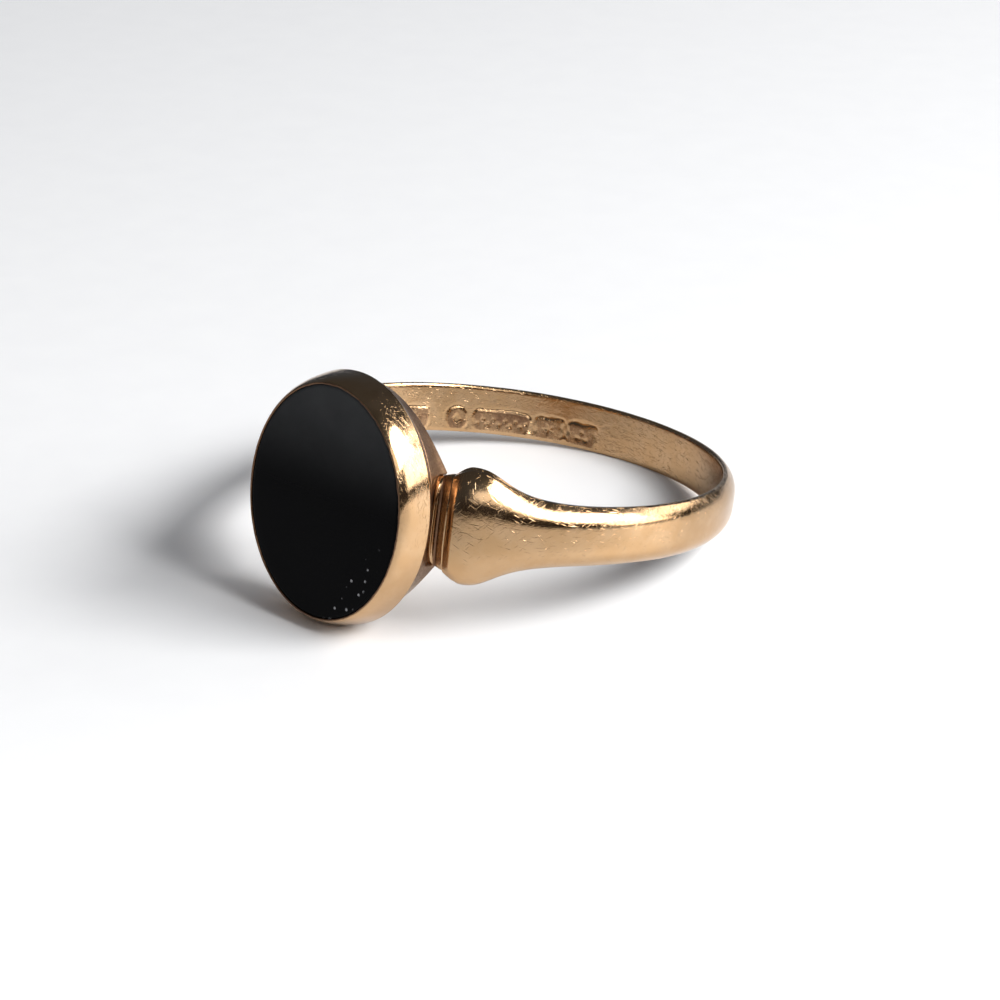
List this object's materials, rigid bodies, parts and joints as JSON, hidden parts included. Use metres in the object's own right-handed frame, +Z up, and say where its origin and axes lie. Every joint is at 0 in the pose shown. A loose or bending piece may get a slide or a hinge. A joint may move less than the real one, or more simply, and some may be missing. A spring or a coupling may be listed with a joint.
{
  "type": "signet ring",
  "caption": "Signet ring with an oval black stone tablet in a rubbed-over bezel, flared shoulders and a slim D-section hoop.",
  "frame": {"origin": "on the table top under the middle of the ring's length and width, with the ring lying at rest on the lower edge of its head and of the back of its hoop", "axes": "+Z up from the table; -Y towards the stone; X across, with the ring symmetric about the YZ plane. The hoop's axis leans 11.9 degrees from +Z, and the stone faces 11.9 degrees above -Y"},
  "size_m": [0.0202, 0.0222, 0.0104],
  "materials": {
    "head_gold": "polished 9 carat rose gold, worn, with brown tarnish in the grooves",
    "hoop_gold": "polished 9 carat rose gold, softened by fine scratches",
    "onyx": "flat polished black onyx",
    "cement": "dark shellac setting cement"
  },
  "bodies": {
    "root": {"onyx_tablet": "onyx", "bezel": "head_gold", "bearing_ledge": "head_gold", "setting_cement": "cement", "base_plate": "head_gold", "collar_right": "head_gold", "collar_left": "head_gold", "shoulder_right": "hoop_gold", "shoulder_left": "hoop_gold", "shank": "hoop_gold"}
  },
  "joints": []
}
